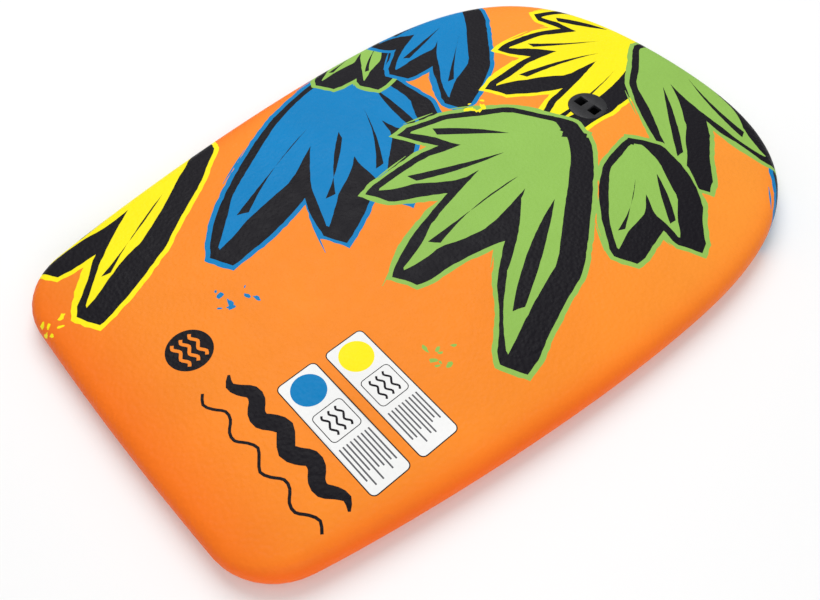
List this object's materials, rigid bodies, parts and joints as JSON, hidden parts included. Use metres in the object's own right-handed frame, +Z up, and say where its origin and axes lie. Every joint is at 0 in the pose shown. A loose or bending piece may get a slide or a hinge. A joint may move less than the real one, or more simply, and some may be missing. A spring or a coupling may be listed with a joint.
{
  "type": "bodyboard",
  "caption": "Small bodyboard: crowned foam board with rounded rails and nose, wrapped in a printed deck skin, with a leash plug sunk in near the nose.",
  "frame": {"origin": "on the ground plane, under the middle of the board's length and width", "axes": "+X along the board towards the nose, +Y to the left seen from above with the nose ahead, +Z up out of the deck"},
  "size_m": [0.66, 0.445, 0.034],
  "materials": {
    "bead_foam": "matte moulded bead foam",
    "printed_skin": "fine pebble grain, satin, printed",
    "slick_sheet": "smooth, semi-gloss",
    "plug_plastic": "moulded, satin"
  },
  "bodies": {
    "root": {"foam_core": "bead_foam", "deck_skin": "printed_skin", "bottom_skin": "slick_sheet", "leash_plug_body": "plug_plastic", "leash_plug_base": "plug_plastic"}
  },
  "joints": []
}
